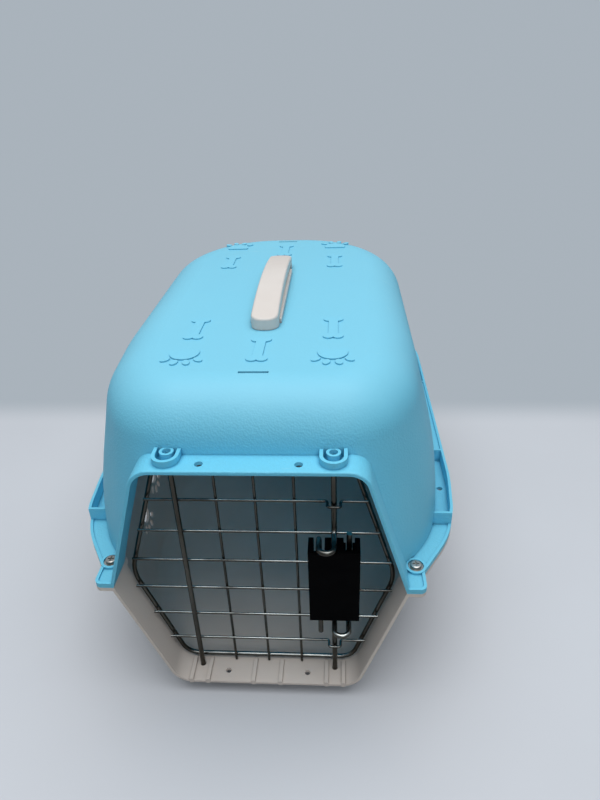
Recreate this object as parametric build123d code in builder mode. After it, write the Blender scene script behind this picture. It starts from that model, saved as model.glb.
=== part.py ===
from build123d import *
import os

os.makedirs("parts", exist_ok=True)

# Whole carrier. Z = 0 is the surface that it stands on, the door is at -Y, X = 0 is the mirror plane.
case_length = 490.0
roof_height = 292.0
split_height = 131.0
wall = 2.6
touch_gap = 0.3

# Cabin, in plan at the split line, with how far it draws in towards the roof and the underside
split_half_width = 155.0
shoulder_inset = 10.0
front_inset = 53.5
side_lean = 28.0
shoulder_lean = 23.0
front_side_lean = 11.5
lower_full_rise = 50.0
lower_fullness = 5.5
upper_full_rise = 112.0
upper_fullness = 1.5
shoulder_setback = 63.0
flank_setback = 140.0
rear_flange_reach = 11.0
front_wall_setback = 4.5
front_lean = 22.0
rear_lean = 20.0
front_corner_radius = 66.0
shoulder_radius = 110.0
flank_radius = 320.0
rear_corner_radius = 120.0
roof_edge_radius = 45.0
base_lean = 20.0
base_edge_radius = 26.0

# Door tunnel: a hexagon that stands forward of the front wall
tunnel_setback = 17.0
tunnel_drop = 45.0
tunnel_side_reach = 18.0
tunnel_top_inset = 36.0
tunnel_sill_inset = 40.0
sill_height = 16.5
tunnel_wall = 3.0
tunnel_top_radius = 18.0
tunnel_mid_radius = 4.0
tunnel_sill_radius = 20.0
tunnel_root = 42.0
tunnel_edge_radius = 1.2

# Flange where the two shells meet, with its front tabs, side rail and pockets
flange_reach = 13.0
flange_knee_reach = 17.0
flange_front_inset = 1.0
flange_front_setback = 18.0
flange_knee_setback = 67.0
flange_side_setback = 128.0
flange_front_radius = 2.0
flange_knee_radius = 100.0
flange_side_radius = 220.0
flange_rear_radius = 105.0
flange_floor = 3.2
flange_lip_height = 4.6
flange_lip_width = 2.4
flange_base = 3.5
rail_height = 16.0
rail_top = 2.6
rail_recess = 1.5
pocket_start = 76.5
pocket_end = 174.0
pocket_rib = 2.4
pocket_hole_reach = 4.0
pocket_hole_setback = 126.5
pocket_hole_radius = 2.75
tab_reach = 12.5
tab_depth = 26.0
tab_radius = 5.5

# Shell bolts at the four corners, their washers and nuts
bolt_tab_inset = 6.5
bolt_setback = 25.0
rear_bolt_side_inset = 25.0
rear_bolt_inset = 37.0
bolt_radius = 2.4
bolt_hole_radius = 2.75
bolt_boss_radius = 8.5
bolt_boss_height = 5.2
bolt_head_radius = 4.6
bolt_head_height = 3.0
bolt_head_edge = 1.2
bolt_drive_width = 1.1
bolt_drive_length = 5.2
bolt_drive_depth = 1.4
bolt_reach = 2.0
washer_radius = 6.0
washer_thickness = 1.0
washer_clearance = 0.4
nut_flats = 8.0
nut_height = 4.0
nut_boss_radius = 7.5
nut_clearance = 0.1

# Edge of the bottom shell that locates inside the top shell
lip_gap = 1.2
lip_thickness = 2.0
lip_height = 5.0
lip_root = 4.0

# Door rods and their sockets
rod_inset = 23.5
rod_radius = 2.15
rod_clearance = 0.35
latch_rod_gap = 0.3
pin_engagement = 4.5
tube_radius = 5.3
tube_height = 5.5
tube_mouth_radius = 3.2
tube_mouth_depth = 2.5
tube_rib_width = 1.2
tube_rib_offset = 2.6
horseshoe_radius = 10.0
horseshoe_wall = 2.7
horseshoe_forward = 4.0
horseshoe_length = 20.0
horseshoe_recess = 1.2
socket_floor = 2.0
tie_hole_inset = 24.4
hood_tie_radius = 3.1
hood_tie_setback = 9.3
sill_tie_radius = 2.5
sill_tie_setback = 11.0

# Wire door
ring_wire_radius = 1.9
wire_radius = 1.1
weld_sink = 0.15
ring_mid_gap = 10.0
ring_mid_drop = 7.0
ring_sill_inset = 4.5
ring_sill_gap = 5.0
ring_top_inset = 9.0
ring_top_gap = 11.0
ring_corner_radius = 15.0
ring_mid_radius = 40.0
crosswire_count = 6
crosswire_first_rise = 27.8
crosswire_pitch = 31.2
wire_overhang = 1.5
upright_count = 3
upright_overhang = 2.0
jog_half = 5.0
jog_bend = 2.2
jog_gap = 0.35

# Latch block and its back plate
latch_width = 40.0
latch_hang = 15.7
latch_height = 74.0
latch_front = 15.5
channel_offset = 11.6
channel_width = 8.6
latch_front_wall = 3.4
latch_edge_radius = 1.2
web_height = 4.0
web_inset = 5.0
stop_gap = 0.3
slot_clearance = 0.35
back_plate_height = 54.0
back_plate_thickness = 2.5
back_plate_gap = 0.2
back_boss_radius = 4.0
latch_screw_radius = 1.4
latch_screw_head = 2.7
latch_screw_head_height = 1.6
latch_screw_reach = 11.0
latch_screw_low = 8.0
latch_screw_high = 31.5

# Latch rods, springs and collars
leg_depth = 4.6
loop_lift = 8.0
loop_reach = 23.0
loop_bend = 5.4
upper_leg_tail = 25.0
lower_leg_tail = 11.0
spring_length = 26.0
spring_radius = 3.1
spring_wire_radius = 0.45
spring_turns = 8
collar_height = 5.0
collar_radius = 3.6

# Lift-up handle: grip, legs and retainers
handle_setback = 140.5
handle_rear_inset = 165.0
handle_width = 24.0
handle_end_height = 10.5
handle_arch_height = 19.0
handle_thickness = 9.0
handle_foot = 15.0
handle_foot_underside = 6.0
handle_travel = 20.0
handle_corner_radius = 10.0
handle_edge_radius = 2.2
leg_width = 15.0
leg_length = 6.0
leg_clearance = 0.4
guide_wall = 2.0
guide_depth = 6.0
retainer_thickness = 3.0
retainer_margin = 4.0
handle_screw_radius = 1.3
handle_screw_head = 2.6
handle_screw_head_height = 1.6
handle_screw_reach = 10.0

# Handle base bar on the roof
handle_base_height = 4.6
handle_base_margin = 1.5
handle_base_gap = 1.2
handle_base_rear_gap = 14.0
base_bar_edge = 0.8
peg_radius = 2.0
peg_clearance = 0.1
peg_head_radius = 3.4
peg_head_height = 1.4
peg_inset = 14.0

# Roof ornaments and strap slots; a setback is a distance behind the front, an inset one before the rear
emboss = 1.1
emboss_root = 1.0
motif_side_inset = 68.0
roof_paw = {"pad": (12.0, 12.5), "heel": 5.0, "toe": (4.2, 2.8), "reach": 18.0, "spread": 31.0}
front_paw_setback = 96.0
rear_paw_inset = 98.0
front_bone_setback = 145.0
rear_bone_inset = 154.5
front_centre_bone_setback = 103.0
rear_centre_bone_inset = 110.5
bone_length = 45.0
bone_neck = 8.0
bone_knuckle = 4.6
bone_knuckle_offset = 3.9
strap_slot_length = 23.0
strap_slot_width = 2.6
front_slot_setback = 63.5
rear_slot_inset = 71.5

# Paw vents in the lower side walls, before and behind the middle
inner_vent_spread = 43.0
inner_vent_drop = 41.0
outer_vent_spread = 91.0
outer_vent_drop = 57.0
vent_paw = {"pad": (9.0, 9.0), "heel": 6.5, "toe": (4.6, 3.0), "reach": 16.5, "spread": 33.0}

# Feet and sill ribs
foot_height = 3.0
foot_length = 60.0
foot_width = 16.0
foot_edge = 2.0
foot_side_inset = 51.0
foot_inset = 95.0
sill_rib_height = 2.0
sill_rib_width = 3.2
sill_rib_offset = 7.5
sill_rib_middle = 12.0
sill_rib_length = 24.0

# Places worked out from the sizes above
loop_overhang = loop_reach + rod_radius - tunnel_setback
front = -(case_length - loop_overhang) / 2
rear = front + case_length
middle_y = front + case_length / 2
split_shoulder_half = split_half_width - shoulder_inset
split_front_half = split_half_width - front_inset
flange_half_width = split_half_width + flange_reach
tunnel_top = roof_height - tunnel_drop
tunnel_mid_half = split_front_half + tunnel_side_reach
tunnel_top_half = tunnel_mid_half - tunnel_top_inset
sill_half = tunnel_mid_half - tunnel_sill_inset
tab_half = tunnel_mid_half + tab_reach
door_y = front + tunnel_setback
hinge_y = door_y + latch_rod_gap + weld_sink
rod_x = tunnel_top_half - rod_inset
rod_places = [(-rod_x, hinge_y), (rod_x, door_y)]
wall_front = front + front_wall_setback
wall_rear = rear - rear_flange_reach
shoulder_y = front + shoulder_setback
flank_y = front + flank_setback
rail_end = case_length - pocket_end
hood_under = tunnel_top - tunnel_wall
sill_under = sill_height - tunnel_wall
tie_hole_x = rod_x - tie_hole_inset
hole_radius = rod_radius + rod_clearance
rod_top = hood_under + pin_engagement
rod_bottom = sill_height - pin_engagement
socket_bottom = rod_bottom - touch_gap - socket_floor
tube_top = tunnel_top + tube_height
horseshoe_places = [(x, y - horseshoe_forward) for x, y in rod_places]
bolt_places = [
    (side * x, y) for side in (-1, 1) for x, y in
    (
        (tab_half - bolt_tab_inset, front + bolt_setback),
        (split_half_width - rear_bolt_side_inset, rear - rear_bolt_inset),
    )
]
pocket_hole_x = split_half_width + pocket_hole_reach
pocket_holes = [
    (side * pocket_hole_x, y) for side in (-1, 1) for y in
    (front + pocket_hole_setback, rear - pocket_hole_setback)
]
crosswire_y = hinge_y + rod_radius + wire_radius - weld_sink
upright_y = crosswire_y + 2 * wire_radius - weld_sink
ring_y = upright_y + wire_radius + ring_wire_radius - weld_sink
ring_bottom = sill_height + ring_sill_gap
ring_bottom_half = sill_half - ring_sill_inset
ring_mid_height = split_height - ring_mid_drop
ring_mid_half = tunnel_mid_half - ring_mid_gap
ring_top = tunnel_top - ring_top_gap
ring_top_half = tunnel_top_half - ring_top_inset
upright_pitch = rod_x / 2
crosswire_lowest = ring_bottom + crosswire_first_rise
latch_bottom = crosswire_lowest + 2 * crosswire_pitch - latch_hang
latch_top = latch_bottom + latch_height
jog_y = door_y - rod_radius - wire_radius - jog_gap
latch_rear_y = crosswire_y - wire_radius
latch_front_y = door_y - latch_front
leg_y = door_y - leg_depth
latch_screw_places = [
    (rod_x, latch_bottom + latch_screw_low),
    (rod_x, latch_bottom + latch_screw_high),
]
upper_leg_x = rod_x - channel_offset
lower_leg_x = rod_x + channel_offset
upper_loop_z = latch_top + loop_lift
lower_loop_z = latch_bottom - loop_lift
upper_spring_seat = latch_bottom + web_inset + web_height
lower_spring_seat = latch_top - web_inset - web_height
upper_collar_z = upper_spring_seat + spring_length
lower_collar_z = lower_spring_seat - spring_length - collar_height
handle_front = front + handle_setback
handle_rear = rear - handle_rear_inset
handle_length = handle_rear - handle_front
handle_middle = (handle_front + handle_rear) / 2
grip_bottom = roof_height + touch_gap
leg_bottom = roof_height - wall - guide_depth - handle_travel - touch_gap
leg_spacing = handle_length - handle_foot
base_bar_front = handle_front + handle_foot + handle_base_gap
base_bar_rear = handle_rear - handle_foot - handle_base_rear_gap
base_bar_length = base_bar_rear - base_bar_front
base_bar_middle = (base_bar_front + base_bar_rear) / 2
full_stages = [(lower_full_rise, lower_fullness), (upper_full_rise, upper_fullness)]
foot_x = split_half_width - base_lean - foot_side_inset
motif_x = split_half_width - side_lean - motif_side_inset
vent_places = [
    (middle_y + side * spread, split_height - drop) for side in (-1, 1) for spread, drop in
    ((inner_vent_spread, inner_vent_drop), (outer_vent_spread, outer_vent_drop))
]


def cabin_outline(half_width, shoulder_half, front_half, front_shift, rear_shift, inset=0.0):
    """Plan outline of the cabin at one height, drawn flat."""
    with BuildSketch() as outline:
        with BuildLine():
            FilletPolyline(
                (0, wall_front + front_shift),
                (front_half, wall_front + front_shift),
                (shoulder_half, shoulder_y + front_shift),
                (half_width, flank_y + front_shift),
                (half_width, wall_rear - rear_shift),
                (0, wall_rear - rear_shift),
                radius=[front_corner_radius, shoulder_radius, flank_radius, rear_corner_radius],
            )
            mirror(about=Plane.YZ)
        make_face()
        if inset:
            offset(amount=-inset, mode=Mode.REPLACE)
    return outline.sketch


def split_outline(inset=0.0):
    """Cabin outline where the two shells meet."""
    return cabin_outline(split_half_width, split_shoulder_half, split_front_half, 0, 0, inset)


def roof_outline(inset=0.0):
    """Cabin outline at the roof, before its edge is rounded."""
    return cabin_outline(
        split_half_width - side_lean,
        split_shoulder_half - shoulder_lean,
        split_front_half - front_side_lean,
        front_lean,
        rear_lean,
        inset,
    )


def full_outline(rise, fullness, inset=0.0):
    """Cabin outline part of the way up, where the sides stand fuller than a straight lean."""
    share = rise / (roof_height - split_height)
    return cabin_outline(
        split_half_width - share * side_lean + fullness,
        split_shoulder_half - share * shoulder_lean + fullness,
        split_front_half - share * front_side_lean,
        share * front_lean,
        share * rear_lean,
        inset,
    )


def base_outline(inset=0.0):
    """Cabin outline at the underside of the bottom shell."""
    return cabin_outline(
        split_half_width - base_lean,
        split_shoulder_half - base_lean,
        split_front_half - base_lean,
        base_lean,
        base_lean,
        inset,
    )


def flange_outline(inset=0.0):
    """Plan outline of the joint flange, without its front tabs."""
    front_half = tab_half - flange_front_inset
    with BuildSketch() as outline:
        with BuildLine():
            FilletPolyline(
                (0, front + flange_front_setback),
                (front_half, front + flange_front_setback),
                (split_shoulder_half + flange_knee_reach, front + flange_knee_setback),
                (flange_half_width, front + flange_side_setback),
                (flange_half_width, rear),
                (0, rear),
                radius=[
                    flange_front_radius, flange_knee_radius, flange_side_radius, flange_rear_radius
                ],
            )
            mirror(about=Plane.YZ)
        make_face()
        if inset:
            offset(amount=-inset, mode=Mode.REPLACE)
    return outline.sketch


def rim_outline(inset=0.0):
    """Plan outline of the joint flange with the tabs beside the door tunnel."""
    with BuildSketch() as outline:
        add(flange_outline())
        with Locations((0, front + tab_depth / 2)):
            RectangleRounded(2 * tab_half, tab_depth, tab_radius)
        if inset:
            offset(amount=-inset, mode=Mode.REPLACE)
    return outline.sketch


def rail_outline(start_setback, end_setback, inset=0.0):
    """Stretch of the flange between two distances behind the front."""
    with BuildSketch() as outline:
        add(flange_outline(inset))
        with Locations((0, front + (start_setback + end_setback) / 2)):
            Rectangle(3 * flange_half_width, end_setback - start_setback, mode=Mode.INTERSECT)
    return outline.sketch


def tunnel_outline(inset=0.0):
    """Hexagon of the door tunnel, on a plane that faces the door."""
    with BuildSketch() as outline:
        with BuildLine():
            FilletPolyline(
                (0, tunnel_top),
                (tunnel_top_half, tunnel_top),
                (tunnel_mid_half, split_height),
                (sill_half, sill_under),
                (0, sill_under),
                radius=[tunnel_top_radius, tunnel_mid_radius, tunnel_sill_radius],
            )
            mirror(about=Plane.YZ)
        make_face()
        if inset:
            offset(amount=-inset, mode=Mode.REPLACE)
    return outline.sketch


def horseshoe(radius):
    """Plan of the rounded wall round a rod tube, open towards the cabin."""
    with BuildSketch() as outline:
        Circle(radius)
        with Locations((0, horseshoe_length / 2)):
            Rectangle(2 * radius, horseshoe_length)
    return outline.sketch


def paw(size):
    """Paw whose pad is cut straight at the heel, with four toes that point down the page."""
    half_pad, pad_depth = size["pad"]
    fan = 3 * size["spread"]
    with BuildSketch() as outline:
        Ellipse(half_pad, pad_depth)
        with Locations((0, size["heel"] + pad_depth)):
            Rectangle(2 * half_pad, 2 * pad_depth, mode=Mode.SUBTRACT)
        with PolarLocations(size["reach"], 4, -90 - fan / 2, fan, endpoint=True):
            Ellipse(*size["toe"])
    return outline.sketch


def bone():
    """Bone that lies along the carrier."""
    knuckle_y = bone_length / 2 - bone_knuckle
    with BuildSketch() as outline:
        Rectangle(bone_neck, 2 * knuckle_y)
        with GridLocations(2 * bone_knuckle_offset, 2 * knuckle_y, 2, 2):
            Circle(bone_knuckle)
    return outline.sketch


def facing_door(y):
    """A plane at depth y whose normal points forward, out of the door."""
    return Plane.XZ.offset(-y)


def bent_wire(path, radius):
    """Round wire along a path."""
    with BuildPart() as wire:
        with BuildSketch(Plane(origin=path @ 0, z_dir=path % 0)):
            Circle(radius)
        sweep(path=path)
    return wire.part


def ring_half(height):
    """Half width of the door ring at one height."""
    if height > ring_mid_height:
        rise = (height - ring_mid_height) / (ring_top - ring_mid_height)
        return ring_mid_half + rise * (ring_top_half - ring_mid_half)
    drop = (ring_mid_height - height) / (ring_mid_height - ring_bottom)
    return ring_mid_half + drop * (ring_bottom_half - ring_mid_half)


# Hollow inside the top shell
with BuildPart() as upper_core:
    with BuildSketch(Plane.XY.offset(split_height)):
        add(split_outline(wall))
    for rise, fullness in full_stages:
        with BuildSketch(Plane.XY.offset(split_height + rise)):
            add(full_outline(rise, fullness, wall))
    with BuildSketch(Plane.XY.offset(roof_height - wall)):
        add(roof_outline(wall))
    loft()
    fillet(upper_core.faces().sort_by(Axis.Z)[-1].edges(), roof_edge_radius - wall)

# Hollow inside the bottom shell
with BuildPart() as lower_core:
    with BuildSketch(Plane.XY.offset(split_height)):
        add(split_outline(wall))
    with BuildSketch(Plane.XY.offset(foot_height + wall)):
        add(base_outline(wall))
    loft(ruled=True)
    fillet(lower_core.faces().sort_by(Axis.Z)[0].edges(), base_edge_radius - wall)

# Way through the door tunnel
with BuildPart() as doorway:
    with BuildSketch(facing_door(front + tunnel_root)):
        add(tunnel_outline(tunnel_wall))
    extrude(amount=tunnel_root + tunnel_wall)

# Outside of the top shell's cabin
with BuildPart() as upper_body:
    with BuildSketch(Plane.XY.offset(split_height)):
        add(split_outline())
    for rise, fullness in full_stages:
        with BuildSketch(Plane.XY.offset(split_height + rise)):
            add(full_outline(rise, fullness))
    with BuildSketch(Plane.XY.offset(roof_height)):
        add(roof_outline())
    loft()
    fillet(upper_body.faces().sort_by(Axis.Z)[-1].edges(), roof_edge_radius)

# Top shell
with BuildPart() as top_shell:
    # Hood of the door tunnel
    with BuildSketch(facing_door(front + tunnel_root)):
        add(tunnel_outline())
        with Locations((0, split_height / 2)):
            Rectangle(4 * tunnel_mid_half, split_height, mode=Mode.SUBTRACT)
    extrude(amount=tunnel_root)
    fillet(top_shell.faces().sort_by(Axis.Y)[0].edges().sort_by(Axis.Z)[1:], tunnel_edge_radius)

    # Flange with its raised lip, and the rail with its pockets and its lowered top
    with BuildSketch(Plane.XY.offset(split_height)):
        add(rim_outline())
    extrude(amount=flange_floor)
    with BuildSketch(Plane.XY.offset(split_height)):
        add(rim_outline())
        add(rim_outline(flange_lip_width), mode=Mode.SUBTRACT)
    extrude(amount=flange_lip_height)
    with BuildSketch(Plane.XY.offset(split_height)):
        add(rail_outline(pocket_start, case_length - pocket_start))
    extrude(amount=rail_height)
    with BuildSketch(Plane.XY.offset(split_height + flange_floor)):
        for first, last in ((pocket_start, pocket_end), (rail_end, case_length - pocket_start)):
            add(rail_outline(first + pocket_rib, last - pocket_rib, flange_lip_width))
    extrude(amount=rail_height, mode=Mode.SUBTRACT)
    with BuildSketch(Plane.XY.offset(split_height + rail_height)):
        add(rail_outline(pocket_end, rail_end, flange_lip_width))
    extrude(amount=-rail_recess, mode=Mode.SUBTRACT)
    with BuildSketch(Plane.XY.offset(split_height)):
        add(rail_outline(pocket_end + pocket_rib, rail_end - pocket_rib, flange_lip_width))
    extrude(amount=rail_height - rail_recess - rail_top, mode=Mode.SUBTRACT)
    add(upper_body.part)

    # Bolt bosses, each with a seat for its washer
    with BuildSketch(Plane.XY.offset(split_height)):
        with Locations(*bolt_places):
            Circle(bolt_boss_radius)
    extrude(amount=bolt_boss_height)
    with BuildSketch(Plane.XY.offset(split_height + flange_floor)):
        with Locations(*bolt_places):
            Circle(washer_radius + washer_clearance)
    extrude(amount=rail_height, mode=Mode.SUBTRACT)

    # Rod tubes on the hood, each in a horseshoe wall that ends at the cabin
    with BuildSketch(Plane.XY.offset(hood_under)):
        with Locations(*horseshoe_places):
            add(horseshoe(horseshoe_radius))
    extrude(amount=tunnel_wall + tube_height)
    with BuildSketch(Plane.XY.offset(tunnel_top - horseshoe_recess)):
        with Locations(*horseshoe_places):
            add(horseshoe(horseshoe_radius - horseshoe_wall))
    extrude(amount=horseshoe_recess + tube_height, mode=Mode.SUBTRACT)
    add(upper_body.part)
    with BuildSketch(Plane.XY.offset(hood_under)):
        with Locations(*rod_places):
            Circle(tube_radius)
            with Locations((0, horseshoe_length / 2)):
                with GridLocations(2 * tube_rib_offset, 0, 2, 1):
                    Rectangle(tube_rib_width, horseshoe_length)
    extrude(amount=tunnel_wall + tube_height)

    # Ornaments and the sockets that guide the handle's legs
    with BuildSketch(Plane.XY.offset(roof_height - emboss_root)):
        with Locations((-motif_x, front + front_paw_setback), (motif_x, front + front_paw_setback)):
            add(paw(roof_paw))
        with Locations(
            Location((-motif_x, rear - rear_paw_inset), 180),
            Location((motif_x, rear - rear_paw_inset), 180),
        ):
            add(paw(roof_paw))
        with Locations(
            (-motif_x, front + front_bone_setback),
            (motif_x, front + front_bone_setback),
            (-motif_x, rear - rear_bone_inset),
            (motif_x, rear - rear_bone_inset),
            (0, front + front_centre_bone_setback),
            (0, rear - rear_centre_bone_inset),
        ):
            add(bone())
    extrude(amount=emboss_root + emboss)

    # Hollows, the way through the door and the holes
    add(upper_core.part, mode=Mode.SUBTRACT)
    add(doorway.part, mode=Mode.SUBTRACT)
    with BuildSketch(Plane.XY.offset(roof_height - wall)):
        with Locations((0, handle_middle)):
            with GridLocations(0, leg_spacing, 1, 2):
                Rectangle(
                    leg_width + 2 * leg_clearance + 2 * guide_wall,
                    leg_length + 2 * leg_clearance + 2 * guide_wall,
                )
    extrude(amount=-guide_depth)
    with BuildSketch(Plane.XY.offset(roof_height)):
        with Locations((0, handle_middle)):
            with GridLocations(0, leg_spacing, 1, 2):
                Rectangle(leg_width + 2 * leg_clearance, leg_length + 2 * leg_clearance)
        with Locations((0, base_bar_middle)):
            with GridLocations(0, base_bar_length - 2 * peg_inset, 1, 2):
                Circle(peg_radius + peg_clearance)
        with Locations((0, front + front_slot_setback), (0, rear - rear_slot_inset)):
            Rectangle(strap_slot_length, strap_slot_width)
    extrude(amount=-wall - guide_depth, mode=Mode.SUBTRACT)
    with BuildSketch(Plane.XY.offset(split_height)):
        with Locations(*bolt_places):
            Circle(bolt_hole_radius)
        with Locations(*pocket_holes):
            Circle(pocket_hole_radius)
    extrude(amount=rail_height, mode=Mode.SUBTRACT)
    with BuildSketch(Plane.XY.offset(tube_top)):
        with Locations(*rod_places):
            Circle(tube_mouth_radius)
    extrude(amount=-tube_mouth_depth, mode=Mode.SUBTRACT)
    with BuildSketch(Plane.XY.offset(tube_top)):
        with Locations(*rod_places):
            Circle(hole_radius)
        with Locations(
            (-tie_hole_x, front + hood_tie_setback),
            (tie_hole_x, front + hood_tie_setback),
        ):
            Circle(hood_tie_radius)
    extrude(amount=-2 * tube_height - tunnel_wall, mode=Mode.SUBTRACT)

top_shell.part.label = "top_shell"
export_step(top_shell.part, "parts/top_shell.step")

# Bottom shell
with BuildPart() as bottom_shell:
    with BuildSketch(Plane.XY.offset(split_height)):
        add(split_outline())
    with BuildSketch(Plane.XY.offset(foot_height)):
        add(base_outline())
    loft(ruled=True)
    fillet(bottom_shell.faces().sort_by(Axis.Z)[0].edges(), base_edge_radius)

    # Lower half of the door tunnel, and the flange
    with BuildSketch(facing_door(front + tunnel_root)):
        add(tunnel_outline())
        with Locations((0, split_height * 1.5)):
            Rectangle(4 * tunnel_mid_half, split_height, mode=Mode.SUBTRACT)
    extrude(amount=tunnel_root)
    fillet(bottom_shell.faces().sort_by(Axis.Y)[0].edges().sort_by(Axis.Z)[:-1], tunnel_edge_radius)
    with BuildSketch(Plane.XY.offset(split_height)):
        add(rim_outline())
    extrude(amount=-flange_base)
    with BuildSketch(Plane.XY.offset(split_height - flange_base)):
        with Locations(*bolt_places):
            Circle(nut_boss_radius)
    extrude(amount=-nut_height)

    # Rod sockets under the sill
    with BuildSketch(Plane.XY.offset(socket_bottom)):
        with Locations(*rod_places):
            Circle(tube_radius)
    extrude(amount=sill_height - socket_bottom)

    # Feet
    with BuildSketch(Plane.XY):
        with Locations((0, middle_y)):
            with GridLocations(2 * foot_x, case_length - 2 * foot_inset, 2, 2):
                RectangleRounded(foot_width, foot_length, foot_width / 2 - foot_edge)
    extrude(amount=foot_height + wall / 2)

    # Hollow, with the edge that locates the top shell
    add(lower_core.part, mode=Mode.SUBTRACT)
    with BuildSketch(Plane.XY.offset(split_height - lip_root)):
        add(split_outline(wall))
        add(split_outline(wall + lip_gap + lip_thickness), mode=Mode.SUBTRACT)
    extrude(amount=lip_root)
    with BuildSketch(Plane.XY.offset(split_height)):
        add(split_outline(wall + lip_gap))
        add(split_outline(wall + lip_gap + lip_thickness), mode=Mode.SUBTRACT)
        with Locations((0, front)):
            Rectangle(2 * tunnel_mid_half, 2 * tunnel_root, mode=Mode.SUBTRACT)
    extrude(amount=lip_height)
    add(doorway.part, mode=Mode.SUBTRACT)

    # Ribs on the sill
    with BuildSketch(Plane.XY.offset(sill_under)):
        for middle in (-rod_x, 0, rod_x):
            offset_x = sill_rib_offset if middle else sill_rib_middle
            with Locations((middle, front + sill_rib_length / 2)):
                with GridLocations(2 * offset_x, 0, 2, 1):
                    Rectangle(sill_rib_width, sill_rib_length)
    extrude(amount=tunnel_wall + sill_rib_height)

    # Rod holes, tie holes, bolt holes and pocket holes
    with BuildSketch(Plane.XY.offset(sill_height)):
        with Locations(*rod_places):
            Circle(hole_radius)
    extrude(amount=socket_bottom + socket_floor - sill_height, mode=Mode.SUBTRACT)
    with BuildSketch(Plane.XY.offset(sill_height)):
        with Locations(
            (-tie_hole_x, front + sill_tie_setback),
            (tie_hole_x, front + sill_tie_setback),
        ):
            Circle(sill_tie_radius)
    extrude(amount=-2 * tunnel_wall, mode=Mode.SUBTRACT)
    with BuildSketch(Plane.XY.offset(split_height)):
        with Locations(*bolt_places):
            Circle(bolt_hole_radius)
        with Locations(*pocket_holes):
            Circle(pocket_hole_radius)
    extrude(amount=-flange_base - nut_height, mode=Mode.SUBTRACT)
    with BuildSketch(Plane.XY.offset(split_height - flange_base - nut_height)):
        with Locations(*bolt_places):
            RegularPolygon(nut_flats / 2 + nut_clearance, 6, major_radius=False)
    extrude(amount=nut_height, mode=Mode.SUBTRACT)

    # Paw-shaped vents
    with BuildSketch(Plane.YZ):
        with Locations(*vent_places):
            add(paw(vent_paw))
    extrude(amount=split_half_width, both=True, mode=Mode.SUBTRACT)

bottom_shell.part.label = "bottom_shell"
export_step(bottom_shell.part, "parts/bottom_shell.step")

# Bolts, washers and nuts that hold the shells together
washer_bottom = split_height + flange_floor
head_bottom = washer_bottom + washer_thickness
nut_bottom = split_height - flange_base - nut_height
with BuildPart() as shell_bolts:
    with BuildSketch(Plane.XY.offset(nut_bottom - bolt_reach)):
        with Locations(*bolt_places):
            Circle(bolt_radius)
    extrude(amount=head_bottom - nut_bottom + bolt_reach)
    with BuildSketch(Plane.XY.offset(head_bottom)):
        with Locations(*bolt_places):
            Circle(bolt_head_radius)
    extrude(amount=bolt_head_height)
    fillet(shell_bolts.faces().group_by(Axis.Z)[-1].edges(), bolt_head_edge)
    with BuildSketch(Plane.XY.offset(head_bottom + bolt_head_height)):
        with Locations(*bolt_places):
            Rectangle(bolt_drive_length, bolt_drive_width)
            Rectangle(bolt_drive_width, bolt_drive_length)
    extrude(amount=-bolt_drive_depth, mode=Mode.SUBTRACT)

shell_bolts.part.label = "shell_bolts"
export_step(shell_bolts.part, "parts/shell_bolts.step")

with BuildPart() as bolt_washers:
    with BuildSketch(Plane.XY.offset(washer_bottom)):
        with Locations(*bolt_places):
            Circle(washer_radius)
            Circle(bolt_hole_radius, mode=Mode.SUBTRACT)
    extrude(amount=washer_thickness)

bolt_washers.part.label = "bolt_washers"
export_step(bolt_washers.part, "parts/bolt_washers.step")

with BuildPart() as shell_nuts:
    with BuildSketch(Plane.XY.offset(nut_bottom)):
        with Locations(*bolt_places):
            RegularPolygon(nut_flats / 2, 6, major_radius=False)
            Circle(bolt_radius, mode=Mode.SUBTRACT)
    extrude(amount=nut_height)

shell_nuts.part.label = "shell_nuts"
export_step(shell_nuts.part, "parts/shell_nuts.step")

# Handle grip: an arched bar whose two legs go down through the roof
with BuildPart() as handle_grip:
    with BuildSketch(Plane.YZ):
        with BuildLine():
            ThreePointArc(
                (handle_front, roof_height + handle_end_height),
                (handle_middle, roof_height + handle_arch_height),
                (handle_rear, roof_height + handle_end_height),
            )
            Polyline(
                (handle_rear, roof_height + handle_end_height),
                (handle_rear, grip_bottom),
                (handle_rear - handle_foot, grip_bottom),
                (handle_rear - handle_foot, roof_height + handle_foot_underside),
            )
            ThreePointArc(
                (handle_rear - handle_foot, roof_height + handle_foot_underside),
                (handle_middle, roof_height + handle_arch_height - handle_thickness),
                (handle_front + handle_foot, roof_height + handle_foot_underside),
            )
            Polyline(
                (handle_front + handle_foot, roof_height + handle_foot_underside),
                (handle_front + handle_foot, grip_bottom),
                (handle_front, grip_bottom),
                (handle_front, roof_height + handle_end_height),
            )
        make_face()
    extrude(amount=handle_width / 2, both=True)
    end_edges = handle_grip.edges().filter_by(Axis.Z).group_by(Axis.Y)
    fillet(end_edges[0] + end_edges[-1], handle_corner_radius)
    fillet(handle_grip.faces().sort_by(Axis.Z)[-1].edges(), handle_edge_radius)
    with BuildSketch(Plane.XY.offset(leg_bottom)):
        with Locations((0, handle_middle)):
            with GridLocations(0, leg_spacing, 1, 2):
                Rectangle(leg_width, leg_length)
    extrude(amount=grip_bottom + handle_edge_radius - leg_bottom)
    with BuildSketch(Plane.XY.offset(leg_bottom)):
        with Locations((0, handle_middle)):
            with GridLocations(0, leg_spacing, 1, 2):
                Circle(handle_screw_radius)
    extrude(amount=handle_screw_reach, mode=Mode.SUBTRACT)

handle_grip.part.label = "handle_grip"
export_step(handle_grip.part, "parts/handle_grip.step")

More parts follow.
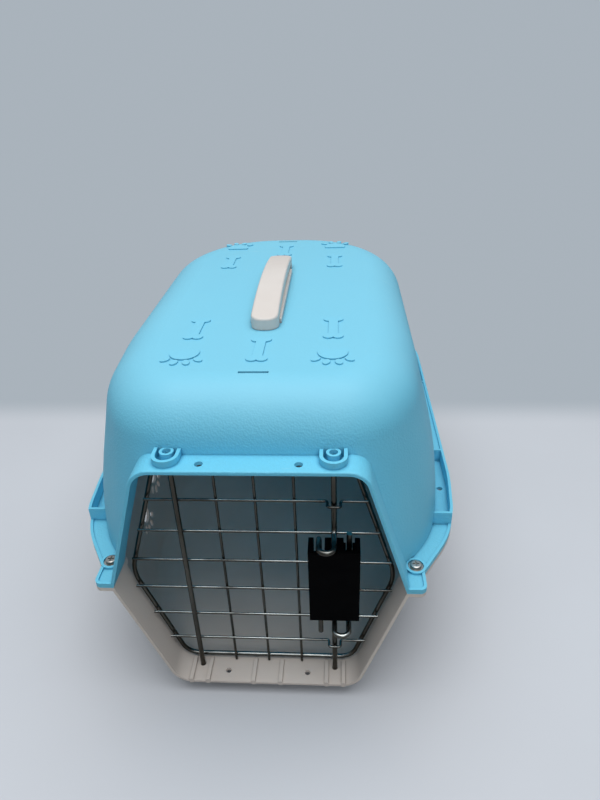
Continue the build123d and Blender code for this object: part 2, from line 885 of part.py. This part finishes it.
with BuildPart() as handle_retainers:
    with BuildSketch(Plane.XY.offset(leg_bottom)):
        with Locations((0, handle_middle)):
            with GridLocations(0, leg_spacing, 1, 2):
                Rectangle(leg_width + 2 * retainer_margin, leg_length + 2 * retainer_margin)
                Circle(handle_screw_radius, mode=Mode.SUBTRACT)
    extrude(amount=-retainer_thickness)

handle_retainers.part.label = "handle_retainers"
export_step(handle_retainers.part, "parts/handle_retainers.step")

with BuildPart() as handle_screws:
    with BuildSketch(Plane.XY.offset(leg_bottom - retainer_thickness)):
        with Locations((0, handle_middle)):
            with GridLocations(0, leg_spacing, 1, 2):
                Circle(handle_screw_radius)
    extrude(amount=retainer_thickness + handle_screw_reach)
    with BuildSketch(Plane.XY.offset(leg_bottom - retainer_thickness)):
        with Locations((0, handle_middle)):
            with GridLocations(0, leg_spacing, 1, 2):
                Circle(handle_screw_head)
    extrude(amount=-handle_screw_head_height)

handle_screws.part.label = "handle_screws"
export_step(handle_screws.part, "parts/handle_screws.step")

# Base bar under the grip, staked through the roof
with BuildPart() as handle_base:
    with BuildSketch(Plane.XY.offset(roof_height)):
        with Locations((0, base_bar_middle)):
            Rectangle(handle_width + 2 * handle_base_margin, base_bar_length)
    extrude(amount=handle_base_height)
    chamfer(handle_base.faces().sort_by(Axis.Z)[-1].edges(), base_bar_edge)
    with BuildSketch(Plane.XY.offset(roof_height)):
        with Locations((0, base_bar_middle)):
            with GridLocations(0, base_bar_length - 2 * peg_inset, 1, 2):
                Circle(peg_radius)
    extrude(amount=-wall)
    with BuildSketch(Plane.XY.offset(roof_height - wall)):
        with Locations((0, base_bar_middle)):
            with GridLocations(0, base_bar_length - 2 * peg_inset, 1, 2):
                Circle(peg_head_radius)
    extrude(amount=-peg_head_height)

handle_base.part.label = "handle_base"
export_step(handle_base.part, "parts/handle_base.step")

# Ring of the wire door
with BuildPart() as door_ring:
    with BuildLine(facing_door(ring_y)) as ring_path:
        FilletPolyline(
            (0, ring_bottom),
            (ring_bottom_half, ring_bottom),
            (ring_mid_half, ring_mid_height),
            (ring_top_half, ring_top),
            (0, ring_top),
            (-ring_top_half, ring_top),
            (-ring_mid_half, ring_mid_height),
            (-ring_bottom_half, ring_bottom),
            (0, ring_bottom),
            radius=[
                0, ring_corner_radius, ring_mid_radius, ring_corner_radius,
                0, ring_corner_radius, ring_mid_radius, ring_corner_radius,
            ],
        )
    with BuildSketch(Plane(origin=(0, ring_y, ring_bottom), z_dir=(1, 0, 0))):
        Circle(ring_wire_radius)
    sweep(path=ring_path.line)

door_ring.part.label = "door_ring"
export_step(door_ring.part, "parts/door_ring.step")

# Crosswires; the lowest and the highest step forward round the latch rods
with BuildPart() as door_crosswires:
    for index in range(crosswire_count):
        height = crosswire_lowest + index * crosswire_pitch
        reach = ring_half(height) + wire_overhang
        if index in (0, crosswire_count - 1):
            with BuildLine() as crosswire_path:
                FilletPolyline(
                    (-reach, crosswire_y, height),
                    (rod_x - jog_half, crosswire_y, height),
                    (rod_x - jog_half, jog_y, height),
                    (rod_x + jog_half, jog_y, height),
                    (rod_x + jog_half, crosswire_y, height),
                    (reach, crosswire_y, height),
                    radius=jog_bend,
                )
        else:
            with BuildLine() as crosswire_path:
                Line((-reach, crosswire_y, height), (reach, crosswire_y, height))
        add(bent_wire(crosswire_path.line, wire_radius))

door_crosswires.part.label = "door_crosswires"
export_step(door_crosswires.part, "parts/door_crosswires.step")

# Thin uprights behind the crosswires
upright_bottom = ring_bottom - ring_wire_radius - upright_overhang
upright_top = ring_top + ring_wire_radius + upright_overhang
with BuildPart() as door_uprights:
    with BuildSketch(Plane.XY.offset(upright_bottom)):
        with Locations((0, upright_y)):
            with GridLocations(upright_pitch, 0, upright_count, 1):
                Circle(wire_radius)
    extrude(amount=upright_top - upright_bottom)

door_uprights.part.label = "door_uprights"
export_step(door_uprights.part, "parts/door_uprights.step")

# Hinge rod, welded to the crosswires
with BuildPart() as hinge_rod:
    with BuildSketch(Plane.XY.offset(rod_bottom)):
        with Locations((-rod_x, hinge_y)):
            Circle(rod_radius)
    extrude(amount=rod_top - rod_bottom)

hinge_rod.part.label = "hinge_rod"
export_step(hinge_rod.part, "parts/hinge_rod.step")

# Latch block with a spring channel for each rod
leg_slot = 2 * (rod_radius + slot_clearance)
channel_depth = latch_rear_y - latch_front_y - latch_front_wall
channel_y = latch_rear_y - channel_depth / 2
upper_webs = [latch_bottom + web_inset, upper_collar_z + collar_height + stop_gap]
lower_webs = [latch_top - web_inset - web_height, lower_collar_z - stop_gap - web_height]
with BuildPart() as latch_housing:
    with BuildSketch(Plane.XY.offset(latch_bottom)):
        with Locations((rod_x, (latch_front_y + latch_rear_y) / 2)):
            Rectangle(latch_width, latch_rear_y - latch_front_y)
    extrude(amount=latch_height)
    fillet(latch_housing.faces().sort_by(Axis.Y)[0].edges(), latch_edge_radius)
    with BuildSketch(Plane.XY.offset(latch_bottom)):
        with Locations((rod_x, channel_y)):
            with GridLocations(2 * channel_offset, 0, 2, 1):
                Rectangle(channel_width, channel_depth)
    extrude(amount=latch_height, mode=Mode.SUBTRACT)
    for channel_x, web_heights in ((upper_leg_x, upper_webs), (lower_leg_x, lower_webs)):
        for web_z in web_heights:
            with BuildSketch(Plane.XY.offset(web_z)):
                with Locations((channel_x, channel_y)):
                    Rectangle(channel_width, channel_depth)
                with Locations((channel_x, leg_y)):
                    Circle(leg_slot / 2, mode=Mode.SUBTRACT)
                with Locations((channel_x, (leg_y + latch_rear_y) / 2)):
                    Rectangle(leg_slot, latch_rear_y - leg_y, mode=Mode.SUBTRACT)
            extrude(amount=web_height)
    with BuildSketch(facing_door(latch_rear_y)):
        with Locations(*latch_screw_places):
            Circle(latch_screw_radius)
    extrude(amount=latch_screw_reach, mode=Mode.SUBTRACT)

latch_housing.part.label = "latch_housing"
export_step(latch_housing.part, "parts/latch_housing.step")

# Back plate that clamps the crosswires against the block
plate_y = crosswire_y + wire_radius + back_plate_gap
with BuildPart() as latch_back:
    with BuildSketch(facing_door(plate_y)):
        with Locations((rod_x, latch_bottom + back_plate_height / 2)):
            Rectangle(latch_width, back_plate_height)
    extrude(amount=-back_plate_thickness)
    with BuildSketch(facing_door(plate_y)):
        with Locations(*latch_screw_places):
            Circle(back_boss_radius)
    extrude(amount=plate_y - latch_rear_y)
    with BuildSketch(facing_door(latch_rear_y)):
        with Locations(*latch_screw_places):
            Circle(latch_screw_radius)
    extrude(amount=-back_plate_thickness - plate_y + latch_rear_y, mode=Mode.SUBTRACT)

latch_back.part.label = "latch_back"
export_step(latch_back.part, "parts/latch_back.step")

plate_rear_y = plate_y + back_plate_thickness
with BuildPart() as latch_screws:
    with BuildSketch(facing_door(plate_rear_y)):
        with Locations(*latch_screw_places):
            Circle(latch_screw_radius)
    extrude(amount=plate_rear_y - latch_rear_y + latch_screw_reach)
    with BuildSketch(facing_door(plate_rear_y)):
        with Locations(*latch_screw_places):
            Circle(latch_screw_head)
    extrude(amount=-latch_screw_head_height)

latch_screws.part.label = "latch_screws"
export_step(latch_screws.part, "parts/latch_screws.step")

# Latch rods: pin, finger loop and the leg that runs in its channel
with BuildPart() as upper_latch_rod:
    with BuildLine() as upper_rod_path:
        FilletPolyline(
            (rod_x, door_y, rod_top),
            (rod_x, door_y, upper_loop_z),
            (rod_x, door_y - loop_reach, upper_loop_z),
            (upper_leg_x, door_y - loop_reach, upper_loop_z),
            (upper_leg_x, leg_y, upper_loop_z),
            (upper_leg_x, leg_y, latch_bottom - upper_leg_tail),
            radius=loop_bend,
        )
    add(bent_wire(upper_rod_path.line, rod_radius))

upper_latch_rod.part.label = "upper_latch_rod"
export_step(upper_latch_rod.part, "parts/upper_latch_rod.step")

with BuildPart() as lower_latch_rod:
    with BuildLine() as lower_rod_path:
        FilletPolyline(
            (rod_x, door_y, rod_bottom),
            (rod_x, door_y, lower_loop_z),
            (rod_x, door_y - loop_reach, lower_loop_z),
            (lower_leg_x, door_y - loop_reach, lower_loop_z),
            (lower_leg_x, leg_y, lower_loop_z),
            (lower_leg_x, leg_y, latch_top + lower_leg_tail),
            radius=loop_bend,
        )
    add(bent_wire(lower_rod_path.line, rod_radius))

lower_latch_rod.part.label = "lower_latch_rod"
export_step(lower_latch_rod.part, "parts/lower_latch_rod.step")


def crimped_collar(x, bottom):
    """Collar round a latch rod's leg."""
    with BuildPart() as collar:
        with BuildSketch(Plane.XY.offset(bottom)):
            with Locations((x, leg_y)):
                Circle(collar_radius)
                Circle(rod_radius, mode=Mode.SUBTRACT)
        extrude(amount=collar_height)
    return collar.part


def latch_spring(x, bottom):
    """Coil spring round a latch rod's leg, between its web and the collar."""
    coil_height = spring_length - 2 * spring_wire_radius
    coil_radius = spring_radius - spring_wire_radius
    with BuildPart() as spring:
        with BuildLine() as coil:
            Helix(
                coil_height / spring_turns,
                coil_height,
                coil_radius,
                center=(x, leg_y, bottom + spring_wire_radius),
            )
        with BuildSketch(Plane(origin=coil.line @ 0, z_dir=coil.line % 0)):
            Circle(spring_wire_radius)
        sweep(path=coil.line, is_frenet=True)
    return spring.part


with BuildPart() as upper_collar:
    add(crimped_collar(upper_leg_x, upper_collar_z))

upper_collar.part.label = "upper_collar"
export_step(upper_collar.part, "parts/upper_collar.step")

with BuildPart() as lower_collar:
    add(crimped_collar(lower_leg_x, lower_collar_z))

lower_collar.part.label = "lower_collar"
export_step(lower_collar.part, "parts/lower_collar.step")

with BuildPart() as upper_spring:
    add(latch_spring(upper_leg_x, upper_spring_seat))

upper_spring.part.label = "upper_spring"
export_step(upper_spring.part, "parts/upper_spring.step")

with BuildPart() as lower_spring:
    add(latch_spring(lower_leg_x, lower_collar_z + collar_height))

lower_spring.part.label = "lower_spring"
export_step(lower_spring.part, "parts/lower_spring.step")
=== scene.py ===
import bpy, bmesh, math
from mathutils import Matrix, Vector


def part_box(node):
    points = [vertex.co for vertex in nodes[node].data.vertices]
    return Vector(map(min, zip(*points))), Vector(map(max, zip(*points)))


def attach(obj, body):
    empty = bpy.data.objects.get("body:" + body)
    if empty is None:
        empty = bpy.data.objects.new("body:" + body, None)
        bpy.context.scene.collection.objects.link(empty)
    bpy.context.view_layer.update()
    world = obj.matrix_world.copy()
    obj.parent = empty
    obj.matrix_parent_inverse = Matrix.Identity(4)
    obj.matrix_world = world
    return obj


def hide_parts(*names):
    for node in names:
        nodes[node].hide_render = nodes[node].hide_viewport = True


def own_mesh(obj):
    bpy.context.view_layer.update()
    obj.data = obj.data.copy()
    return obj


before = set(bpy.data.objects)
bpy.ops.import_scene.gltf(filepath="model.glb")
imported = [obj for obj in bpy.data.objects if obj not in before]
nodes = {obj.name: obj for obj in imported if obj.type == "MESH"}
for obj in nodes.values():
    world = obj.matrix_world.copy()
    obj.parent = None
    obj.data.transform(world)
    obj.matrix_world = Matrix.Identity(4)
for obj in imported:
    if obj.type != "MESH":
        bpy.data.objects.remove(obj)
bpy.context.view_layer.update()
mm = 0.001
print("frame loaded:", len(nodes), "nodes")

# solved from the photograph: place in mm, angles in degrees
camera = dict(place=(63.9, -571.5, 496.2), yaw=-4.31, pitch=30.01, roll=-2.20, lens=26.985, sensor=36)


def addCamera(p):
    data = bpy.data.cameras.new("camera")
    data.sensor_fit = "AUTO"
    data.sensor_width = p["sensor"]
    data.lens = p["lens"]
    eye = bpy.data.objects.new("camera", data)
    bpy.context.scene.collection.objects.link(eye)
    turn = Matrix.Rotation(math.radians(-p["yaw"]), 4, "Z")
    tip = Matrix.Rotation(math.radians(90 - p["pitch"]), 4, "X")
    lean = Matrix.Rotation(math.radians(p["roll"]), 4, "Z")
    eye.matrix_world = Matrix.Translation(Vector(p["place"]) * mm) @ turn @ tip @ lean
    bpy.context.scene.camera = eye


addCamera(camera)

# two soft round lamps: a wide one overhead, and a weak one in front that lifts the shadows
keyLamp = dict(place=(0.06, -0.22, 2.0), aim=(0, 0, 0.1), size=2.2, power=34)
fillLamp = dict(place=(0.5, -2.4, 1.5), aim=(0, -0.1, 0.15), size=1.4, power=8)


def addLamp(name, p):
    data = bpy.data.lights.new(name, "AREA")
    data.shape = "DISK"
    data.size = p["size"]
    data.energy = p["power"]
    lamp = bpy.data.objects.new(name, data)
    lamp.location = p["place"]
    lamp.rotation_euler = (Vector(p["aim"]) - Vector(p["place"])).to_track_quat("-Z", "Y").to_euler()
    bpy.context.scene.collection.objects.link(lamp)


addLamp("key", keyLamp)
addLamp("fill", fillLamp)
print("camera and lamps placed")


def put(tree, value, slot):  # a wire is linked to the socket, and anything else is its fixed value
    if isinstance(value, Wire):
        tree.links.new(value.socket, slot)
    else:
        slot.default_value = value


class Wire:  # one shader socket, whose sums add their own nodes
    def __init__(self, tree, socket):
        self.tree, self.socket = tree, socket

    def maths(self, operation, first, second):
        node = self.tree.nodes.new("ShaderNodeMath")
        node.operation = operation
        put(self.tree, first, node.inputs[0])
        put(self.tree, second, node.inputs[1])
        return Wire(self.tree, node.outputs[0])

    def __add__(self, other):
        return self.maths("ADD", self, other)

    def __radd__(self, other):
        return self.maths("ADD", other, self)

    def __sub__(self, other):
        return self.maths("SUBTRACT", self, other)

    def __rsub__(self, other):
        return self.maths("SUBTRACT", other, self)

    def __mul__(self, other):
        return self.maths("MULTIPLY", self, other)

    def __rmul__(self, other):
        return self.maths("MULTIPLY", other, self)


class Graph:  # the nodes of one material, or of the sky
    def __init__(self, tree):
        self.tree = tree

    def node(self, kind, out=0, settings=(), **sockets):  # i0, i1: by number, where sockets share a name
        made = self.tree.nodes.new("ShaderNode" + kind)
        for key, value in dict(settings).items():
            setattr(made, key, value)
        for key, value in sockets.items():
            numbered = key[0] == "i" and key[1:].isdigit()
            put(self.tree, value, made.inputs[int(key[1:]) if numbered else key.replace("_", " ")])
        return Wire(self.tree, made.outputs[out])

    def seen(self):  # 1 on what the camera, a gloss or a clear piece looks at, and 0 for the light itself
        kinds = ("Camera", "Glossy", "Transmission")
        eye, gloss, clear = (self.node("LightPath", out="Is %s Ray" % kind) for kind in kinds)
        return eye + gloss + clear

    def output(self, name, mask, first, second):  # first, and second by as much as the mask says
        mix = self.node("MixShader", i0=mask, i1=first, i2=second)
        self.tree.links.new(mix.socket, self.tree.nodes[name].inputs["Surface"])


class Finish(Graph):  # a material being built, with its patterns in metres on the piece
    def __init__(self, name, **fixed):
        self.material = bpy.data.materials.new(name)
        self.material.use_nodes = True
        super().__init__(self.material.node_tree)
        self.shader = self.tree.nodes["Principled BSDF"]
        self.feed(**fixed)
        self.place = self.node("TexCoord", out="Object")

    def feed(self, **sockets):
        for key, value in sockets.items():
            put(self.tree, value, self.shader.inputs[key.replace("_", " ")])

    def along(self, axis):
        return self.node("SeparateXYZ", out=axis, Vector=self.place)

    def noise(self, scale, detail=3.0, rough=0.5, stretch=(1, 1, 1), turn=(0, 0, 0)):
        spot = self.node("Mapping", Vector=self.place, Scale=stretch, Rotation=turn)
        return self.node("TexNoise", Vector=spot, Scale=scale, Detail=detail, Roughness=rough)

    def cells(self, scale):
        return self.node("TexVoronoi", out="Distance", Vector=self.place, Scale=scale)

    # how shut in each spot is, from ambient occlusion: the mask for painted shade in creases
    def hollowShade(self, reach, samples):
        return 1 - self.node("AmbientOcclusion", out="AO", settings={"samples": samples}, Distance=reach)

    def ramp(self, value, low, high):
        return self.node("MapRange", settings={"interpolation_type": "SMOOTHSTEP"},
                         Value=value, From_Min=low, From_Max=high)

    def blend(self, mask, first, second):
        return self.node("Mix", out=2, settings={"data_type": "RGBA"},
                         i0=mask, i6=opaque(first), i7=opaque(second))

    def bump(self, height, strength, depth):
        self.feed(Normal=self.node("Bump", Height=height, Strength=strength, Distance=depth))

    def letThrough(self, share, colour):  # daylight that comes through the moulded wall
        surface = Wire(self.tree, self.shader.outputs[0])
        self.output("Material Output", share, surface, self.node("BsdfTranslucent", Color=opaque(colour)))


def opaque(colour):  # a fixed colour gets its alpha, and a wire stays
    return (*colour, 1.0) if isinstance(colour, tuple) else colour


def fromScreen(levels):  # a colour as a screen shows it, 0 to 255, made linear by the sRGB curve
    shares = [level / 255 for level in levels]
    return tuple(s / 12.92 if s < 0.04045 else ((s + 0.055) / 1.055) ** 2.4 for s in shares)


# what the moulded plastics share: soft patches of tone, painted shade in the creases, and a fine grain over
# the pebbles
moulded = dict(
    specular=0.45, patchRange=(0.35, 0.7), creaseShadeRange=(0.12, 0.75), creaseShadeSamples=8,
    grain=dict(scale=420.0, detail=2.0), sheen=dict(scale=60.0),
)


def patched(f, p):
    mask = f.ramp(f.noise(**p["patches"]), *p["patchRange"])
    return f.blend(mask, fromScreen(p["deep"]), fromScreen(p["face"]))


# painted shade: the colour darkens where the surface is shut in, in creases and hollows
def creaseShaded(f, p, colour):
    mask = f.ramp(f.hollowShade(p["creaseShadeReach"], p["creaseShadeSamples"]), *p["creaseShadeRange"])
    return f.blend(mask * p["creaseShadeShare"], colour, fromScreen(p["creaseShade"]))


# colours as a screen shows them, but through is the linear tint of the light in the wall; lengths in metres
bluePlastic = dict(
    moulded, face=(126, 220, 249), deep=(119, 215, 246), litAndScuffPale=(158, 227, 248), creaseShade=(30, 120, 160),
    patches=dict(scale=5.0, detail=4.0, rough=0.55), creaseShadeReach=0.004, creaseShadeShare=0.8,
    scuffs=dict(scale=26.0, detail=6.0, rough=0.62, stretch=(1.0, 7.0, 1.0), turn=(0, 0, 0.5)),
    scuffRange=(0.66, 0.74),
    crossScuffs=dict(scale=24.0, detail=6.0, rough=0.62, stretch=(6.0, 1.0, 1.0), turn=(0, 0, -0.35)),
    crossRange=(0.68, 0.76),
    roofRange=(0.255, 0.288), roofLitPale=0.45, scuffPale=0.45, roofSmooth=0.85,
    pebbles=620, grainShare=0.4, grainStrength=0.6, grainDepth=0.00042,
    rough=0.42, sheenShare=0.1, scuffShare=0.08, through=(0.22, 0.85, 1.0), throughShare=0.23,
)


def makeBlue(p):  # pebbled sides, and a smooth, lightly scuffed roof that is painted paler as painted light from above
    f = Finish("bluePlastic", Specular_IOR_Level=p["specular"])
    scuffs = f.ramp(f.noise(**p["scuffs"]), *p["scuffRange"])
    scuffs = scuffs + f.ramp(f.noise(**p["crossScuffs"]), *p["crossRange"])
    roof = f.ramp(f.along("Z"), *p["roofRange"])
    # painted light: the roof is painted paler as if lit from above; the paler scuffs are real wear
    colour = f.blend(roof * p["roofLitPale"] + scuffs * p["scuffPale"], patched(f, p), fromScreen(p["litAndScuffPale"]))
    pebbles = f.cells(p["pebbles"]) * (1 - roof * p["roofSmooth"])
    f.feed(Base_Color=creaseShaded(f, p, colour))
    f.feed(Roughness=p["rough"] + f.noise(**p["sheen"]) * p["sheenShare"] + scuffs * p["scuffShare"])
    f.bump(pebbles + f.noise(**p["grain"]) * p["grainShare"], p["grainStrength"], p["grainDepth"])
    f.letThrough(p["throughShare"], p["through"])
    return f.material


creamBase = dict(
    moulded, patches=dict(scale=7.0, detail=4.0, rough=0.55), creaseShadeReach=0.003, creaseShadeShare=0.7,
    grainShare=0.5, grainStrength=0.3, sheenShare=0.12,
)
creamPlastic = dict(
    creamBase, face=(228, 219, 211), deep=(218, 208, 200), creaseShade=(120, 110, 103),
    pebbles=900, grainDepth=0.0002, rough=0.45, throughShare=0.12,
)
handlePlastic = dict(
    creamBase, face=(220, 214, 209), deep=(212, 204, 198), creaseShade=(126, 118, 112),
    pebbles=1600, grainDepth=0.00008, rough=0.38, throughShare=0.04,
)


def makeCream(p, name):
    f = Finish(name, Specular_IOR_Level=p["specular"])
    f.feed(Base_Color=creaseShaded(f, p, patched(f, p)))
    f.feed(Roughness=p["rough"] + f.noise(**p["sheen"]) * p["sheenShare"])
    grain = f.cells(p["pebbles"]) + f.noise(**p["grain"]) * p["grainShare"]
    f.bump(grain, p["grainStrength"], p["grainDepth"])
    f.letThrough(p["throughShare"], fromScreen(p["face"]))
    return f.material


# metals, in linear colours: dull steel in patches, with a painted highlight where it faces up
steelBase = dict(
    patches=dict(scale=22.0, detail=4.0, rough=0.55), patchRange=(0.35, 0.7),
    topRange=(0.45, 0.9), litTopRange=(0.3, 0.6), sheen=dict(scale=120.0), sheenShare=0.1,
    grain=dict(scale=700.0), grainStrength=0.1, grainDepth=0.00003,
)
wireSteel = dict(
    steelBase, face=(0.081, 0.078, 0.067), deep=(0.045, 0.042, 0.035), highlight=(0.50, 0.52, 0.50), rough=0.20,
)
boltSteel = dict(
    steelBase, face=(0.44, 0.42, 0.38), deep=(0.24, 0.22, 0.19), highlight=(0.58, 0.57, 0.54), rough=0.26,
)
springSteel = dict(
    steelBase, face=(0.42, 0.41, 0.40), deep=(0.2, 0.19, 0.18), highlight=(0.5, 0.49, 0.48), rough=0.3,
)


def makeSteel(p, name):
    f = Finish(name, Metallic=1.0)
    tone = f.noise(**p["patches"])
    steel = f.blend(f.ramp(tone, *p["patchRange"]), p["deep"], p["face"])
    upward = f.node("SeparateXYZ", out="Z", Vector=f.node("TexCoord", out="Normal"))
    # painted highlight on the upward faces, broken up by the steel's patchy tone
    litTop = f.ramp(upward, *p["topRange"]) * f.ramp(tone, *p["litTopRange"])
    f.feed(Base_Color=f.blend(litTop, steel, p["highlight"]))
    f.feed(Roughness=p["rough"] + f.noise(**p["sheen"]) * p["sheenShare"])
    f.bump(f.noise(**p["grain"]), p["grainStrength"], p["grainDepth"])
    return f.material


latchPlastic = dict(
    face=(3, 3, 4), deep=(1, 1, 2), specular=0.02, patches=dict(scale=80.0), patchRange=(0.35, 0.65),
    rough=0.5, sheen=dict(scale=200.0), sheenShare=0.15, pebbles=1500, grainStrength=0.2, grainDepth=0.00006,
)


def makeBlack(p):
    f = Finish("latchPlastic", Specular_IOR_Level=p["specular"])
    f.feed(Base_Color=patched(f, p))
    f.feed(Roughness=p["rough"] + f.noise(**p["sheen"]) * p["sheenShare"])
    f.bump(f.cells(p["pebbles"]), p["grainStrength"], p["grainDepth"])
    return f.material


finishes = {
    "blue": makeBlue(bluePlastic),
    "cream": makeCream(creamPlastic, "creamPlastic"),
    "handle": makeCream(handlePlastic, "handlePlastic"),
    "wire": makeSteel(wireSteel, "wireSteel"),
    "bolt": makeSteel(boltSteel, "boltSteel"),
    "spring": makeSteel(springSteel, "springSteel"),
    "latch": makeBlack(latchPlastic),
}
print("finishes made:", len(finishes))

wearing = {
    "blue": ["top_shell"],
    "cream": ["bottom_shell"],
    "handle": ["handle_grip", "handle_base", "handle_retainers"],
    "wire": ["door_ring", "door_crosswires", "door_uprights", "hinge_rod",
             "upper_latch_rod", "lower_latch_rod", "upper_collar", "lower_collar"],
    "bolt": ["shell_bolts", "bolt_washers", "shell_nuts", "handle_screws", "latch_screws"],
    "latch": ["latch_housing", "latch_back"],
}
for finish, names in wearing.items():
    for name in names:
        part = nodes[name]
        part.data.materials.clear()
        part.data.materials.append(finishes[finish])
print("pieces dressed:", sum(len(names) for names in wearing.values()))

# the latch's coil springs, in mm; the real ones shorten as their rods are squeezed, these are made at one
# length
coil = dict(wire=0.45, turns=8, closedTurns=1.0, steps=30, sides=10, travel=5.5)


def coilMesh(name, low, high, p):  # a ring of wire spun up the axis, with a closed turn at each end
    wire = p["wire"] * mm
    centre = (low + high) / 2
    radius = (high.x - low.x) / 2 - wire
    closedRise = 2 * wire * p["closedTurns"]
    openRise = high.z - low.z - 2 * wire - 2 * closedRise
    start = Matrix.Translation((centre.x + radius, centre.y, low.z + wire))
    upright = Matrix.Rotation(math.radians(90), 4, "X") @ Matrix.Rotation(math.radians(90), 4, "Z")
    bm = bmesh.new()
    bmesh.ops.create_circle(bm, segments=p["sides"], radius=wire, matrix=start @ upright)
    end = bm.verts[:] + bm.edges[:]
    closed = (p["closedTurns"], closedRise)
    for turns, rise in (closed, (p["turns"], openRise), closed):
        steps = int(turns * p["steps"])
        spun = bmesh.ops.spin(bm, geom=end, cent=centre, axis=(0, 0, 1), dvec=(0, 0, rise / steps),
                              angle=math.radians(360) * turns, steps=steps)
        end = spun["geom_last"]
    bmesh.ops.holes_fill(bm, edges=[edge for edge in bm.edges if edge.is_boundary], sides=p["sides"])
    bmesh.ops.recalc_face_normals(bm, faces=bm.faces[:])
    for face in bm.faces:
        face.smooth = len(face.verts) == 4
    mesh = bpy.data.meshes.new(name)
    bm.to_mesh(mesh)
    bm.free()
    return mesh


def makeSpring(name, node, p):
    low, high = (Vector(corner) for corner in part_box(node))
    spring = bpy.data.objects.new(name, coilMesh(name, low, high, p))
    bpy.context.scene.collection.objects.link(spring)
    spring.data.materials.append(finishes["spring"])
    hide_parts(node)
    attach(spring, "door")
    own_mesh(spring)


makeSpring("upperSpringCoil", "upper_spring", coil)
makeSpring("lowerSpringCoil", "lower_spring", coil)
print("springs made")

backdrop = (0.400, 0.450, 0.500)  # the tone behind the carrier, which the board runs into
board = dict(
    size=6.0, face=(0.575, 0.60, 0.645), lighter=1.03, patches=dict(scale=3.0), patchRange=(0.3, 0.7),
    bounce=(0.26, 0.27, 0.28), rough=0.75, specular=0.2, endRange=(0.21, 0.29),
)


def makePaint(p):  # bounce is the light that the board throws back on the carrier
    f = Finish("floorPaint", Roughness=p["rough"], Specular_IOR_Level=p["specular"])
    lighter = tuple(c * p["lighter"] for c in p["face"])
    near = f.blend(f.ramp(f.noise(**p["patches"]), *p["patchRange"]), p["face"], lighter)
    f.feed(Base_Color=f.blend(f.seen(), p["bounce"], near))
    behind = f.ramp(f.along("Y"), *p["endRange"]) * f.seen()
    paint = Wire(f.tree, f.shader.outputs[0])
    f.output("Material Output", behind, paint, f.node("Emission", Color=opaque(backdrop)))
    return f.material


def addFloor(p):
    bm = bmesh.new()
    bmesh.ops.create_grid(bm, x_segments=1, y_segments=1, size=p["size"])
    mesh = bpy.data.meshes.new("floor")
    bm.to_mesh(mesh)
    bm.free()
    floor = bpy.data.objects.new("floor", mesh)
    bpy.context.scene.collection.objects.link(floor)
    floor.data.materials.append(makePaint(p))


addFloor(board)

sky = dict(
    zenith=(0.92, 0.97, 1.0), zenithStrength=0.45,
    horizon=(0.62, 0.82, 1.0), horizonStrength=0.07, riseRange=(0.05, 0.85),
)


def setSky(p):
    world = bpy.data.worlds.new("room")
    bpy.context.scene.world = world
    world.use_nodes = True
    g = Graph(world.node_tree)
    height = g.node("SeparateXYZ", out="Z", Vector=g.node("TexCoord", out="Generated"))
    low, high = p["riseRange"]
    rise = g.node("MapRange", Value=height, From_Min=low, From_Max=high)
    horizon = g.node("Background", Color=opaque(p["horizon"]), Strength=p["horizonStrength"])
    zenith = g.node("Background", Color=opaque(p["zenith"]), Strength=p["zenithStrength"])
    dome = g.node("MixShader", i0=rise, i1=horizon, i2=zenith)
    g.output("World Output", g.seen(), dome, g.node("Background", Color=opaque(backdrop)))


setSky(sky)
bpy.context.scene.view_settings.view_transform = "Standard"
print("studio ready")
